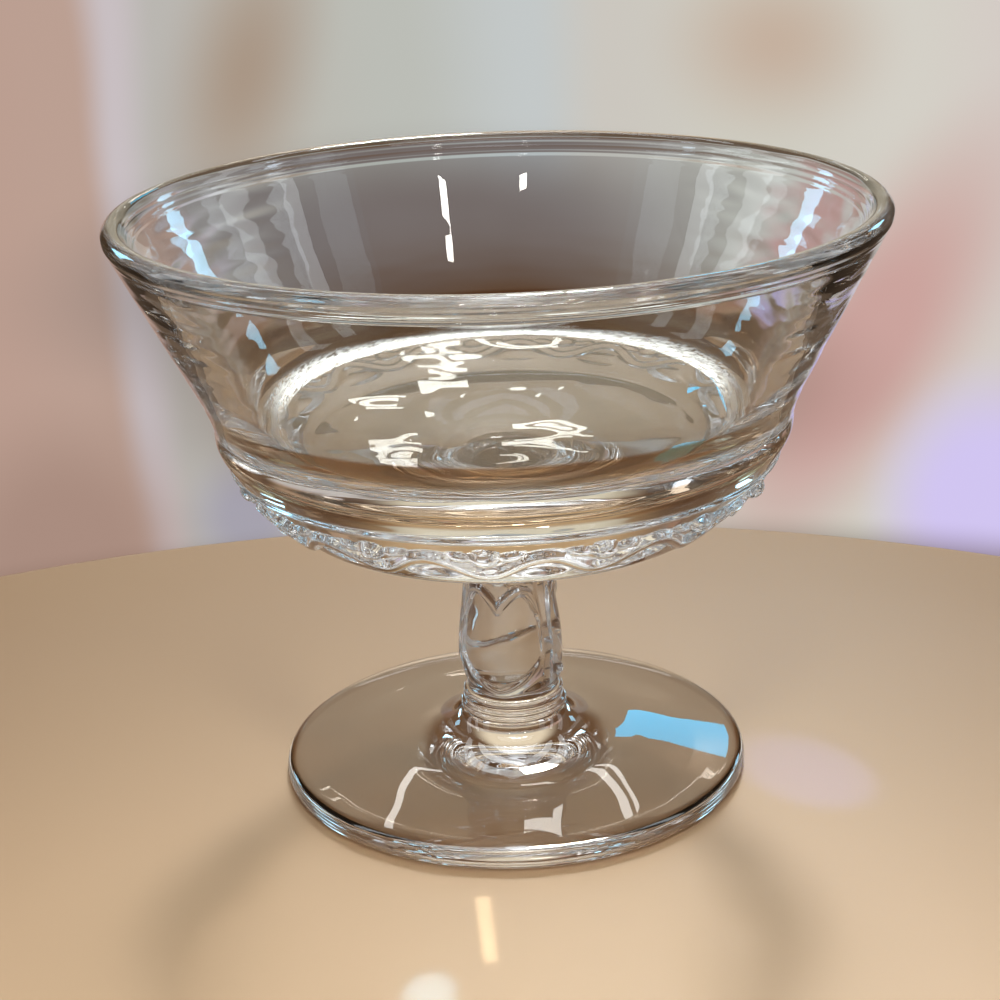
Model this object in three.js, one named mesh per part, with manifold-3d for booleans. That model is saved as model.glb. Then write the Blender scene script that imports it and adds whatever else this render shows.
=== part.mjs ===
// A footed champagne coupe in clear pressed glass: a flared bowl with a thick base that
// carries a beaded festoon border, a short stem whose bulb shows three heart panels,
// a double-ring collar and a round disc foot. Millimetres, +Z up, the foot rests on Z = 0
// and the axis of the glass is the Z axis. The front faces -Y.
import * as THREE from 'three';
import { mergeVertices } from 'three/addons/utils/BufferGeometryUtils.js';
import Module from 'manifold-3d';

// Bowl: rim and wall
const RIM_RADIUS = 50;           // outermost reach of the rim bead
const RIM_HEIGHT = 79.4;         // top of the rim bead above the table
const RIM_BEAD = 1.4;            // radius of the rounded rim
const OUTER_LEAN = 26.2;         // lean of the outer wall from upright, degrees
const INNER_LEAN = 28.4;         // lean of the inner wall, degrees: the wall thickens downward
const WALL_END_Z = 57.2;         // the flared wall turns upright from here down
const CUP_END_Z = 53.2;          // the inner wall turns into the floor from here down
const FLOOR_RADIUS = 29.8;       // where the floor's corner curve ends
const FLOOR_EDGE_Z = 50.9;       // floor height at that radius
const FLOOR_DISH = 0.6;          // the floor sinks this far to its middle
const FLOOR_CORNER_RADIUS = 31.9;

// Bowl: shoulder and thick base
const BAND_RADIUS = 38.05;       // upright band over the shoulder
const BAND_TOP_Z = 52.2;
const BAND_FOOT_Z = 50.9;
const SHOULDER_RADIUS = 37.3;    // rounded shoulder, lower end
const SHOULDER_Z = 48.6;
const CREASE_RADIUS = 36.4;      // upper edge of the border
const CREASE_Z = 47.1;
const SLOPE_BULGE_RADIUS = 34.6; // the border's field is a slightly full slope
const SLOPE_BULGE_Z = 44.2;
const HEEL_RADIUS = 29.3;        // rounded lower edge of the bowl
const HEEL_Z = 38.9;
const UNDER_RADIUS = 26.5;       // the underside starts here
const UNDER_Z = 37.6;
const ROOT_DROP = 4.2;           // the underside sinks this far to the stem

// Border: a festoon ridge with a bead in each dip and a lens cut under each crest
const REPEATS = 15;
const BORDER_TURN = -4.6;        // a bead stands this many degrees from the front
const DIP = 0.25;                // share of the way up the slope at a dip of the ridge
const CREST = 0.62;              // and at a crest
const RIDGE_HALF_WIDTH = 1;
const RIDGE_HEIGHT = 0.72;
const BEAD_UP = 0.63;            // share of the way up the slope at a bead
const BEAD_TALL = 1.6;
const BEAD_WIDE = 1.8;
const BEAD_PROUD = 1.2;
const LENS_UP = 0.22;
const LENS_TALL = 2.4;
const LENS_WIDE = 4.2;
const LENS_DEEP = 1.4;
const LENS_OUT = 0.75;           // how far the lens cutter's centre stands off the slope

// Stem
const STEM_TOP_RADIUS = 8.8;     // flared top under the bowl
const FLARE_Z = 31.6;
const FLARE_RADIUS = 6.4;
const WAIST_Z = 28;
const WAIST_RADIUS = 5.9;
const BULB_Z = 17.4;
const BULB_RADIUS = 6.95;
const NECK_Z = 12.4;
const NECK_RADIUS = 6.25;
const STEM_FOOT_Z = 11.4;
const HEARTS = 3;
const KNOP_TURN = -16.6;         // middle of the front heart, degrees from the front
const HEART_HALF_ANGLE = 54;     // half width of a heart panel round the bulb
const HEART_TIP_Z = 12.9;        // its lower point
const HEART_MID_Z = 19;          // its widest level
const HEART_LOBE_Z = 27.2;       // tops of its two lobes
const HEART_LOBE_ANGLE = 31;
const HEART_NOTCH_Z = 24.6;      // the notch between the lobes
const STRAP_HIGH = 0.42;         // a rounded strap follows each heart's outline
const STRAP_WIDE = 0.75;
const PANEL_DEEP = 0.3;          // the panels are sunk this far inside the straps
const PANEL_EDGE = 0.7;          // width of a panel's sloping edge
const BUD_Z = 29.4;              // a bud over each notch and between the hearts
const BUD_WIDE = 1;
const BUD_TALL = 1.2;
const BUD_PROUD = 0.75;

// Collar
const RING_RADIUS = 7.35;        // lower ring
const RING_BEAD = 0.75;
const UPPER_RING_RADIUS = 6.9;
const UPPER_RING_BEAD = 0.55;
const COLLAR_FOOT_Z = 8.2;

// Foot
const FOOT_RADIUS = 31.95;
const FOOT_EDGE = 2.4;           // thickness at the rounded edge
const EDGE_INSET = 1.2;          // the rounding's reach inward
const REST_RADIUS = 30.4;        // outer limit of the flat resting ring
const HOLLOW_RADIUS = 26;        // the hollow underside starts here
const HOLLOW_DEEP = 0.9;
const DOME_RADIUS = 17;          // the dome in the middle spreads to here
const DOME_FOOT_Z = 3.9;
const DOME_TOP_RADIUS = 7.1;

const BOWL_STEPS = 60;           // facets round each turned piece
const STEM_STEPS = 54;
const ROUND_STEPS = 45;

const wasm = await Module();
wasm.setup();

const rad = (degrees) => THREE.MathUtils.degToRad(degrees);
const fromFront = (degrees) => rad(degrees - 90);

// Drops the seams of a three.js geometry and the slivers at its poles.
function tidy(geometry) {
  const bare = geometry.index ? geometry.clone() : geometry;
  bare.deleteAttribute('normal');
  bare.deleteAttribute('uv');
  const merged = mergeVertices(bare, 1e-4);
  const kept = [];
  const index = merged.index.array;
  for (let i = 0; i < index.length; i += 3) {
    const [a, b, c] = [index[i], index[i + 1], index[i + 2]];
    if (a !== b && b !== c && c !== a) kept.push(a, b, c);
  }
  merged.setIndex(kept);
  return merged;
}

// Turns a profile of radius and height about the Z axis.
function turned(path, steps, curveSteps) {
  const points = path.getPoints(curveSteps);
  points[0].x = 0;
  points[points.length - 1].x = 0;
  const geometry = new THREE.LatheGeometry(points, steps);
  geometry.rotateX(Math.PI / 2);
  return tidy(geometry);
}

function toManifold(geometry) {
  return new wasm.Manifold(new wasm.Mesh({
    numProp: 3,
    vertProperties: Float32Array.from(geometry.attributes.position.array),
    triVerts: Uint32Array.from(geometry.index.array),
  }));
}

function fromManifold(solid) {
  const mesh = solid.getMesh();
  const geometry = new THREE.BufferGeometry();
  geometry.setAttribute('position', new THREE.BufferAttribute(Float32Array.from(mesh.vertProperties), 3));
  geometry.setIndex(Array.from(mesh.triVerts));
  return geometry;
}

// Joins rings of points, listed from the bottom up, into a closed skin.
function skin(rings) {
  const count = rings[0].length;
  const points = rings.flat();
  const faces = [];
  for (let i = 0; i + 1 < rings.length; i += 1) {
    for (let j = 0; j < count; j += 1) {
      const k = (j + 1) % count;
      const [a, b, c, d] = [i * count + j, i * count + k, (i + 1) * count + k, (i + 1) * count + j];
      faces.push(a, b, c, a, c, d);
    }
  }
  const low = points.push(new THREE.Vector3(0, 0, rings[0][0].z)) - 1;
  const high = points.push(new THREE.Vector3(0, 0, rings[rings.length - 1][0].z)) - 1;
  const top = (rings.length - 1) * count;
  for (let j = 0; j < count; j += 1) {
    const k = (j + 1) % count;
    faces.push(low, k, j, high, top + j, top + k);
  }
  const geometry = new THREE.BufferGeometry().setFromPoints(points);
  geometry.setIndex(faces);
  return geometry;
}

// The border's field: a curve from the bowl's heel up to the crease.
const slope = new THREE.QuadraticBezierCurve(
  new THREE.Vector2(HEEL_RADIUS, HEEL_Z),
  new THREE.Vector2(SLOPE_BULGE_RADIUS, SLOPE_BULGE_Z),
  new THREE.Vector2(CREASE_RADIUS, CREASE_Z),
);

// A frame on that field: x runs round the bowl, y up the slope, z out of it.
function onSlope(share, angle) {
  const spot = slope.getPoint(share);
  const up = slope.getTangent(share);
  const out = new THREE.Vector3(Math.cos(angle), Math.sin(angle), 0);
  const round = new THREE.Vector3(-Math.sin(angle), Math.cos(angle), 0);
  const climb = out.clone().multiplyScalar(up.x).setZ(up.y);
  const away = out.clone().multiplyScalar(up.y).setZ(-up.x);
  const place = out.clone().multiplyScalar(spot.x).setZ(spot.y);
  return { round, climb, away, place };
}

function bowlBody() {
  const bead = new THREE.Vector2(RIM_RADIUS - RIM_BEAD, RIM_HEIGHT - RIM_BEAD);
  const outerTop = new THREE.Vector2(
    bead.x + RIM_BEAD * Math.cos(rad(OUTER_LEAN)), bead.y - RIM_BEAD * Math.sin(rad(OUTER_LEAN)));
  const innerTop = new THREE.Vector2(
    bead.x - RIM_BEAD * Math.cos(rad(INNER_LEAN)), bead.y + RIM_BEAD * Math.sin(rad(INNER_LEAN)));
  const wallEnd = outerTop.x - (outerTop.y - WALL_END_Z) * Math.tan(rad(OUTER_LEAN));
  const cupEnd = innerTop.x - (innerTop.y - CUP_END_Z) * Math.tan(rad(INNER_LEAN));
  const path = new THREE.Path();
  path.moveTo(0, UNDER_Z - ROOT_DROP);
  path.lineTo(STEM_TOP_RADIUS, UNDER_Z - ROOT_DROP);
  path.quadraticCurveTo(STEM_TOP_RADIUS * 1.48, UNDER_Z - ROOT_DROP / 3, UNDER_RADIUS, UNDER_Z);
  path.quadraticCurveTo(HEEL_RADIUS - 1.1, UNDER_Z, HEEL_RADIUS, HEEL_Z);
  path.quadraticCurveTo(SLOPE_BULGE_RADIUS, SLOPE_BULGE_Z, CREASE_RADIUS, CREASE_Z);
  path.lineTo(SHOULDER_RADIUS, SHOULDER_Z);
  path.quadraticCurveTo(BAND_RADIUS, SHOULDER_Z + 1.1, BAND_RADIUS, BAND_FOOT_Z);
  path.lineTo(BAND_RADIUS + 0.1, BAND_TOP_Z);
  path.quadraticCurveTo(BAND_RADIUS + 0.3, BAND_TOP_Z + 1.6, wallEnd, WALL_END_Z);
  path.lineTo(outerTop.x, outerTop.y);
  path.absarc(bead.x, bead.y, RIM_BEAD, rad(-OUTER_LEAN), rad(180 - INNER_LEAN), false);
  path.lineTo(cupEnd, CUP_END_Z);
  path.quadraticCurveTo(FLOOR_CORNER_RADIUS, FLOOR_EDGE_Z, FLOOR_RADIUS, FLOOR_EDGE_Z);
  path.quadraticCurveTo(FLOOR_RADIUS / 2, FLOOR_EDGE_Z - FLOOR_DISH, 0, FLOOR_EDGE_Z - FLOOR_DISH);
  return turned(path, BOWL_STEPS, 3);
}

// The festoon: an oval ridge that swings between the dips and the crests, all the way round.
function festoon() {
  const steps = REPEATS * 8;
  const sides = 6;
  const points = [];
  const faces = [];
  for (let i = 0; i < steps; i += 1) {
    const turn = (i / steps) * Math.PI * 2;
    const share = (DIP + CREST) / 2 - ((CREST - DIP) / 2) * Math.cos(turn * REPEATS);
    const { climb, away, place } = onSlope(share, fromFront(BORDER_TURN) + turn);
    for (let j = 0; j < sides; j += 1) {
      const a = ((j + 0.5) / sides) * Math.PI * 2;
      points.push(place.clone()
        .addScaledVector(climb, RIDGE_HALF_WIDTH * Math.cos(a))
        .addScaledVector(away, RIDGE_HEIGHT * Math.sin(a)));
      const [k, n] = [(j + 1) % sides, (i + 1) % steps];
      faces.push(i * sides + j, n * sides + k, n * sides + j, i * sides + j, i * sides + k, n * sides + k);
    }
  }
  const geometry = new THREE.BufferGeometry().setFromPoints(points);
  geometry.setIndex(faces);
  return geometry;
}

// An egg-shaped solid set on the slope, used for the beads and for cutting the lenses.
function egg(share, degrees, wide, tall, deep, off) {
  const { round, climb, away, place } = onSlope(share, fromFront(degrees));
  const geometry = new THREE.SphereGeometry(1, 8, 6);
  geometry.scale(wide, tall, deep);
  geometry.applyMatrix4(new THREE.Matrix4().makeBasis(round, climb, away)
    .setPosition(place.addScaledVector(away, off)));
  return tidy(geometry);
}

function bowl() {
  let solid = toManifold(bowlBody());
  for (let i = 0; i < REPEATS; i += 1) {
    const degrees = BORDER_TURN + ((i + 0.5) * 360) / REPEATS;
    solid = solid.subtract(toManifold(egg(LENS_UP, degrees, LENS_WIDE, LENS_TALL, LENS_DEEP, LENS_OUT)));
  }
  solid = solid.add(toManifold(festoon()));
  for (let i = 0; i < REPEATS; i += 1) {
    const degrees = BORDER_TURN + (i * 360) / REPEATS;
    solid = solid.add(toManifold(egg(BEAD_UP, degrees, BEAD_WIDE, BEAD_TALL, BEAD_PROUD, 0)));
  }
  return fromManifold(solid);
}

// Height of a heart's outline at an angle from its middle: the lower point and sides,
// then the two lobes with the notch between them.
function heartLow(angle) {
  const t = Math.min(1, Math.abs(angle) / HEART_HALF_ANGLE);
  return HEART_TIP_Z + (HEART_MID_Z - HEART_TIP_Z) * (1 - Math.sqrt(1 - t * t) * (1 - 0.25 * t));
}

function heartHigh(angle) {
  const a = Math.abs(angle);
  if (a < HEART_LOBE_ANGLE) {
    const t = a / HEART_LOBE_ANGLE;
    return HEART_NOTCH_Z + (HEART_LOBE_Z - HEART_NOTCH_Z) * Math.sin((t * Math.PI) / 2);
  }
  const t = Math.min(1, (a - HEART_LOBE_ANGLE) / (HEART_HALF_ANGLE - HEART_LOBE_ANGLE));
  return HEART_MID_Z + (HEART_LOBE_Z - HEART_MID_Z) * Math.sqrt(1 - t * t);
}

// The angle from the nearest of several places spread evenly round the stem.
const fromNearest = (degrees, count) => {
  const span = 360 / count;
  return degrees - KNOP_TURN - span * Math.round((degrees - KNOP_TURN) / span);
};

// How far a place lies inside a heart's outline along the skin, negative outside it.
function insideHeart(angle, z) {
  const clear = (a, h) => Math.min(
    h - heartLow(a), heartHigh(a) - h, (HEART_HALF_ANGLE - Math.abs(a)) * rad(BULB_RADIUS));
  const here = clear(angle, z);
  const byHeight = (clear(angle, z + 0.1) - here) / 0.1;
  const byTurn = (clear(angle + 1, z) - here) / rad(BULB_RADIUS);
  return here / THREE.MathUtils.clamp(Math.hypot(byHeight, byTurn), 1, 4);
}

// How far the stem's skin stands out of its turned outline.
function knopRelief(degrees, z) {
  const inside = insideHeart(fromNearest(degrees, HEARTS), z);
  const strap = STRAP_HIGH * Math.exp(-(((inside + 0.1) / STRAP_WIDE) ** 2));
  const panel = PANEL_DEEP * THREE.MathUtils.smoothstep(inside - 0.2, 0, PANEL_EDGE);
  const across = (fromNearest(degrees, HEARTS * 2) * rad(WAIST_RADIUS)) / BUD_WIDE;
  const swell = 1 - across ** 2 - ((z - BUD_Z) / BUD_TALL) ** 2;
  return Math.max(strap - panel, BUD_PROUD * Math.sqrt(Math.max(0, swell)));
}

function stem() {
  const outline = new THREE.CurvePath();
  const knots = [
    [NECK_RADIUS, STEM_FOOT_Z], [NECK_RADIUS, NECK_Z], [BULB_RADIUS, BULB_Z], [WAIST_RADIUS, WAIST_Z],
    [FLARE_RADIUS, FLARE_Z], [STEM_TOP_RADIUS, UNDER_Z - ROOT_DROP],
  ].map(([r, z]) => new THREE.Vector2(r, z));
  outline.add(new THREE.LineCurve(knots[0], knots[1]));
  outline.add(new THREE.CubicBezierCurve(knots[1],
    new THREE.Vector2(NECK_RADIUS + 0.5, NECK_Z + 0.9), new THREE.Vector2(BULB_RADIUS, BULB_Z - 2.2), knots[2]));
  outline.add(new THREE.CubicBezierCurve(knots[2],
    new THREE.Vector2(BULB_RADIUS, BULB_Z + 4), new THREE.Vector2(WAIST_RADIUS, WAIST_Z - 3), knots[3]));
  outline.add(new THREE.QuadraticBezierCurve(knots[3],
    new THREE.Vector2(WAIST_RADIUS, FLARE_Z - 2), knots[4]));
  outline.add(new THREE.QuadraticBezierCurve(knots[4],
    new THREE.Vector2(FLARE_RADIUS + 0.5, UNDER_Z - ROOT_DROP - 0.9), knots[5]));
  const counts = [1, 5, 13, 5, 2];
  const rings = [];
  outline.curves.forEach((curve, i) => {
    for (let j = i === 0 ? 0 : 1; j <= counts[i]; j += 1) {
      const spot = curve.getPoint(j / counts[i]);
      rings.push(Array.from({ length: STEM_STEPS }, (_, k) => {
        const degrees = (k * 360) / STEM_STEPS;
        const shaped = i > 0 && i < outline.curves.length - 1;
        const r = spot.x + (shaped ? knopRelief(degrees, spot.y) : 0);
        return new THREE.Vector3(r * Math.cos(fromFront(degrees)), r * Math.sin(fromFront(degrees)), spot.y);
      }));
    }
  });
  return skin(rings);
}

function collar() {
  const lower = new THREE.Vector2(RING_RADIUS - RING_BEAD, COLLAR_FOOT_Z + RING_BEAD);
  const upper = new THREE.Vector2(
    UPPER_RING_RADIUS - UPPER_RING_BEAD, lower.y + RING_BEAD + UPPER_RING_BEAD);
  const path = new THREE.Path();
  path.moveTo(0, COLLAR_FOOT_Z);
  path.lineTo(lower.x, COLLAR_FOOT_Z);
  path.absarc(lower.x, lower.y, RING_BEAD, rad(-90), rad(70), false);
  path.absarc(upper.x, upper.y, UPPER_RING_BEAD, rad(-50), rad(75), false);
  path.lineTo(NECK_RADIUS, STEM_FOOT_Z);
  path.lineTo(0, STEM_FOOT_Z);
  return turned(path, ROUND_STEPS, 3);
}

function foot() {
  const path = new THREE.Path();
  path.moveTo(0, HOLLOW_DEEP);
  path.quadraticCurveTo(HOLLOW_RADIUS / 2, HOLLOW_DEEP, HOLLOW_RADIUS, 0);
  path.lineTo(REST_RADIUS, 0);
  path.quadraticCurveTo(FOOT_RADIUS, 0, FOOT_RADIUS, FOOT_EDGE / 2);
  path.quadraticCurveTo(FOOT_RADIUS, FOOT_EDGE, FOOT_RADIUS - EDGE_INSET, FOOT_EDGE);
  path.lineTo(DOME_RADIUS, DOME_FOOT_Z);
  path.quadraticCurveTo(DOME_TOP_RADIUS + 1.6, DOME_FOOT_Z + 0.7, DOME_TOP_RADIUS, COLLAR_FOOT_Z);
  path.lineTo(0, COLLAR_FOOT_Z);
  return turned(path, ROUND_STEPS, 4);
}

function piece(name, geometry, colour) {
  geometry.computeVertexNormals();
  const material = new THREE.MeshStandardMaterial({
    color: colour, roughness: 0.04, metalness: 0, transparent: true, opacity: 0.35,
  });
  const mesh = new THREE.Mesh(geometry, material);
  mesh.name = name;
  return mesh;
}

const group = new THREE.Group();
group.add(piece('bowl', bowl(), 0xeef0ea));
group.add(piece('stem', stem(), 0xecede8));
group.add(piece('collar', collar(), 0xecede8));
group.add(piece('foot', foot(), 0xe9ebe6));

export default group;
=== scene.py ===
"""A champagne coupe in clear pressed glass, standing on a pale round table top."""
import math
import bpy
import numpy as np
from mathutils import Matrix, Vector


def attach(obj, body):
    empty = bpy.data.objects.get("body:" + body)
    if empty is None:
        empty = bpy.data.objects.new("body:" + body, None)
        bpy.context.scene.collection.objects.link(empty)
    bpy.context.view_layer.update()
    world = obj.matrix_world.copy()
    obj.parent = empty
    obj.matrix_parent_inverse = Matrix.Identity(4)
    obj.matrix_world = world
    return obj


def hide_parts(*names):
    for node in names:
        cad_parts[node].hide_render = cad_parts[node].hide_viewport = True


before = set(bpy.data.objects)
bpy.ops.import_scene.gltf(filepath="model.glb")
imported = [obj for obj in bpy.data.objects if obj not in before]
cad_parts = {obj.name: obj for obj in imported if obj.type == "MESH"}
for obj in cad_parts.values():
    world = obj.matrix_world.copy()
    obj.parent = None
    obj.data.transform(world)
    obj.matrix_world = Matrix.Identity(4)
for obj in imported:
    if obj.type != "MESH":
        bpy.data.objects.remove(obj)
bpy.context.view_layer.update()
MM = 0.001

# Sizes of the glass in millimetres, as (radius, height) where two stand together, with angles in
# degrees from the front. A name that ends in BOW is the point that a curve leans towards.
RIM_RADIUS, RIM_HEIGHT, RIM_BEAD = 50.0, 79.4, 1.4
RIM_CENTRE = np.array([RIM_RADIUS - RIM_BEAD, RIM_HEIGHT - RIM_BEAD])
OUTER_LEAN, INNER_LEAN = 26.2, 28.4
WALL_END_Z, CUP_END_Z = 57.2, 53.2
FLOOR_RADIUS, FLOOR_EDGE_Z, FLOOR_CENTRE_Z, FLOOR_CORNER_RADIUS = 29.8, 50.9, 50.3, 31.9
BAND_FOOT, BAND_TOP = (38.05, 50.9), (38.15, 52.2)
SHOULDER, CREASE, HEEL = (37.3, 48.6), (36.4, 47.1), (29.3, 38.9)
UNDER, STEM_TOP_RADIUS, ROOT_Z = (26.5, 37.6), 8.8, 33.4
ROOT_BOW, HEEL_BOW, SLOPE_BOW = (13.0, 36.2), (28.2, 37.6), (34.6, 44.2)
SHOULDER_BOW, WALL_BOW, FLOOR_BOW = (38.05, 49.7), (38.35, 53.8), (14.9, 50.3)

# The border on the bowl's slope: HIGH and DEEP stand off the slope, UP is a share of the way up it.
REPEATS, BORDER_TURN, DIP, CREST, RELIEF_SCALE = 15, -4.6, 0.25, 0.62, 1.3
RIBBON_HIGH, RIBBON_HALF, RIBBON_EDGE = 0.72, 1.25, 0.75
GROOVE_DEEP, GROOVE_OFF, GROOVE_WIDE = 0.2, 1.5, 0.4
LINE_HIGH, LINE_UP, LINE_WIDE = 0.34, 0.945, 0.5
BUD_HIGH, BUD_UP, BUD_WIDE, BUD_TALL = 1.15, 0.63, 1.75, 1.5
LEAF_HIGH, LEAF_OFF, LEAF_WIDE, LEAF_TALL, LEAF_SLANT = 0.6, 3.0, 1.7, 0.85, 0.28
FACET_DEEP, FACET_UP, FACET_WIDE, FACET_TALL = 0.8, 0.235, 4.3, 2.0
FACET_OFF, FACET_EDGE, FADE_FOOT, FADE_TOP = 1.0, 0.5, 0.9, 0.5

# The stem with its heart panels, straps and buds, and the two rings of the collar.
FLARE, WAIST, BULB, NECK = (6.4, 31.6), (5.9, 28.0), (6.95, 17.4), (6.25, 12.4)
NECK_BOW, BULB_FOOT_BOW, BULB_TOP_BOW = (6.75, 13.3), (6.95, 15.2), (6.95, 21.4)
WAIST_FOOT_BOW, WAIST_BOW, FLARE_BOW = (5.9, 25.0), (5.9, 29.6), (6.9, 32.5)
STEM_FOOT_Z, COLLAR_FOOT_Z = 11.4, 8.2
HEARTS, KNOP_TURN, HEART_HALF, HEART_LOBE_TURN, HEART_POINT = 3, -16.6, 54.0, 31.0, 0.25
HEART_TIP_Z, HEART_MID_Z, HEART_NOTCH_Z, HEART_LOBE_Z = 12.9, 19.0, 24.6, 27.2
PANEL_DEEP, PANEL_IN, PANEL_EDGE = 0.3, 0.2, 0.7
STRAP_HIGH, STRAP_OUT, STRAP_WIDE = 0.42, 0.1, 0.75
KNOP_BUD_HIGH, KNOP_BUD_Z, KNOP_BUD_WIDE, KNOP_BUD_TALL = 0.75, 29.4, 1.0, 1.2
RING_RADIUS, RING_BEAD, RING_ARC = 7.35, 0.75, (-90, 70)
UPPER_RING_RADIUS, UPPER_RING_BEAD, UPPER_RING_ARC = 6.9, 0.55, (-50, 75)
RING_GAP_IN, RING_GAP_DROP = 0.2, 0.3

# The foot, with a rounded edge, a low dome and a shallow hollow underneath.
FOOT_RADIUS, FOOT_EDGE, FOOT_EDGE_TOP, REST_RADIUS = 31.95, 2.4, (30.75, 2.7), 30.4
HOLLOW_RADIUS, HOLLOW_DEEP, HOLLOW_BOW = 26.0, 0.9, (15.6, 0.9)
DOME_FOOT, DOME_TOP_RADIUS, DOME_BOW = (17.0, 3.9), 7.1, (8.7, 4.6)
SEAM = 0.02  # fused faces stand this far apart, so that no two lie in one plane
SEAM_STEPS, SLOPE_STEPS, CORNER_STEPS = 4, 72, 14  # rows over an end, the slope, the floor's corner
SHARP_ANGLE = 50  # degrees between faces from which an edge stays sharp


# Outlines: each run gives the points after its start.
def straight(a, b, steps):
    t = np.linspace(0, 1, steps + 1)[1:, None]
    return (1 - t) * np.array(a) + t * np.array(b)


def bow(a, c, b, steps):
    t = np.linspace(0, 1, steps + 1)[1:, None]
    return (1 - t) ** 2 * np.array(a) + 2 * t * (1 - t) * np.array(c) + t ** 2 * np.array(b)


def sway(a, c, d, b, steps):
    t = np.linspace(0, 1, steps + 1)[1:, None]
    return ((1 - t) ** 3 * np.array(a) + 3 * t * (1 - t) ** 2 * np.array(c)
            + 3 * t ** 2 * (1 - t) * np.array(d) + t ** 3 * np.array(b))


def round_over(centre, radius, start, end, steps):
    t = np.radians(np.linspace(start, end, steps + 1)[1:])
    return np.array(centre) + radius * np.stack([np.cos(t), np.sin(t)], axis=1)


def normals_along(path):
    """Outward normals of an outline that keeps the glass on its left."""
    step = np.gradient(path, axis=0)
    step /= np.maximum(np.linalg.norm(step, axis=1, keepdims=True), 1e-9)
    return np.stack([step[:, 1], -step[:, 0]], axis=1)


# Bodies
def new_object(name, points, faces, smooth=True):
    mesh = bpy.data.meshes.new(name)
    mesh.from_pydata(points, [], [tuple(int(i) for i in face) for face in faces])
    mesh.update()
    mesh.polygons.foreach_set("use_smooth", [smooth] * len(mesh.polygons))
    made = bpy.data.objects.new(name, mesh)
    bpy.context.collection.objects.link(made)
    return made


def skin_faces(rows, turns):
    """Four-sided faces between neighbouring rings of points."""
    here = np.arange(turns)
    after = (here + 1) % turns
    faces = []
    for row in range(rows - 1):
        lower, upper = row * turns, (row + 1) * turns
        faces += list(zip(lower + here, lower + after, upper + after, upper + here))
    return faces


def turned_body(name, path, turns, relief=None, fused=()):
    """A closed turned body; relief[row, turn] lifts the skin, fused ends take the second material."""
    path = np.asarray(path, float)
    rows = len(path) - 2
    angle = np.radians(np.arange(turns) * 360 / turns - 90)
    skin = np.repeat(path[1:-1, None, :], turns, axis=1)
    if relief is not None:
        skin = skin + normals_along(path)[1:-1, None, :] * relief[1:-1, :, None]
    r, z = skin[..., 0], skin[..., 1]
    points = np.stack([r * np.cos(angle), r * np.sin(angle), z], axis=2).reshape(-1, 3)
    poles = np.array([[0, 0, path[0, 1]], [0, 0, path[-1, 1]]])
    points = np.vstack([points, poles]) * MM
    foot_pole, top_pole = len(points) - 2, len(points) - 1
    top_ring = (rows - 1) * turns
    neighbours = [(k, (k + 1) % turns) for k in range(turns)]
    faces = [(foot_pole, b, a) for a, b in neighbours]
    faces += skin_faces(rows, turns)
    faces += [(top_ring + a, top_ring + b, top_pole) for a, b in neighbours]
    body = new_object(name, points.tolist(), faces)
    seam_rows = {"foot": range(SEAM_STEPS), "top": range(rows + 1 - SEAM_STEPS, rows + 1)}
    second = np.zeros(rows + 1, int)
    for end in fused:
        second[list(seam_rows[end])] = 1
    body.data.polygons.foreach_set("material_index", np.repeat(second, turns).tolist())
    body.data.set_sharp_from_angle(angle=math.radians(SHARP_ANGLE))
    return body


def soft_step(x):
    x = np.clip(x, 0, 1)
    return x * x * (3 - 2 * x)


def dish(x, y):
    """One in the middle of a round patch, falling to nothing at its edge."""
    return np.clip(1 - x ** 2 - y ** 2, 0, 1)


# Bowl
def cup_wall():
    """The ends of the straight inner wall: at the rounded rim, and where it turns into the floor."""
    lean = math.radians(INNER_LEAN)
    top = RIM_CENTRE + RIM_BEAD * np.array([-math.cos(lean), math.sin(lean)])
    return top, (top[0] - math.tan(lean) * (top[1] - CUP_END_Z), CUP_END_Z)


def floor_corner():
    """The curve from the inner wall onto the floor."""
    corner, edge = (FLOOR_CORNER_RADIUS, FLOOR_EDGE_Z), (FLOOR_RADIUS, FLOOR_EDGE_Z)
    return bow(cup_wall()[1], corner, edge, CORNER_STEPS)


def bowl_piece(turns=600):
    lean = math.radians(OUTER_LEAN)
    outer_top = RIM_CENTRE + RIM_BEAD * np.array([math.cos(lean), -math.sin(lean)])
    wall_end = (outer_top[0] - math.tan(lean) * (outer_top[1] - WALL_END_Z), WALL_END_Z)
    inner_top, cup_end = cup_wall()
    root = (STEM_TOP_RADIUS, ROOT_Z)
    underside = [
        straight((0, ROOT_Z), root, SEAM_STEPS),
        bow(root, ROOT_BOW, UNDER, 16),
        bow(UNDER, HEEL_BOW, HEEL, 8),
    ]
    sides = [
        bow(HEEL, SLOPE_BOW, CREASE, SLOPE_STEPS),
        straight(CREASE, SHOULDER, 4),
        bow(SHOULDER, SHOULDER_BOW, BAND_FOOT, 6),
        straight(BAND_FOOT, BAND_TOP, 3),
        bow(BAND_TOP, WALL_BOW, wall_end, 12),
        straight(wall_end, outer_top, 12),
        round_over(RIM_CENTRE, RIM_BEAD, -OUTER_LEAN, 180 - INNER_LEAN, 16),
        straight(inner_top, cup_end, 12),
        floor_corner(),
        bow((FLOOR_RADIUS, FLOOR_EDGE_Z), FLOOR_BOW, (0, FLOOR_CENTRE_Z), 10),
    ]
    path = np.vstack([[(0, ROOT_Z)]] + underside + sides)
    start = sum(len(run) for run in underside)
    slope = slice(start, start + SLOPE_STEPS + 1)
    relief = np.zeros((len(path), turns))
    relief[slope] = border_relief(path[slope], turns)
    return turned_body("bowl_glass", path, turns, relief, fused=["foot"])


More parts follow.
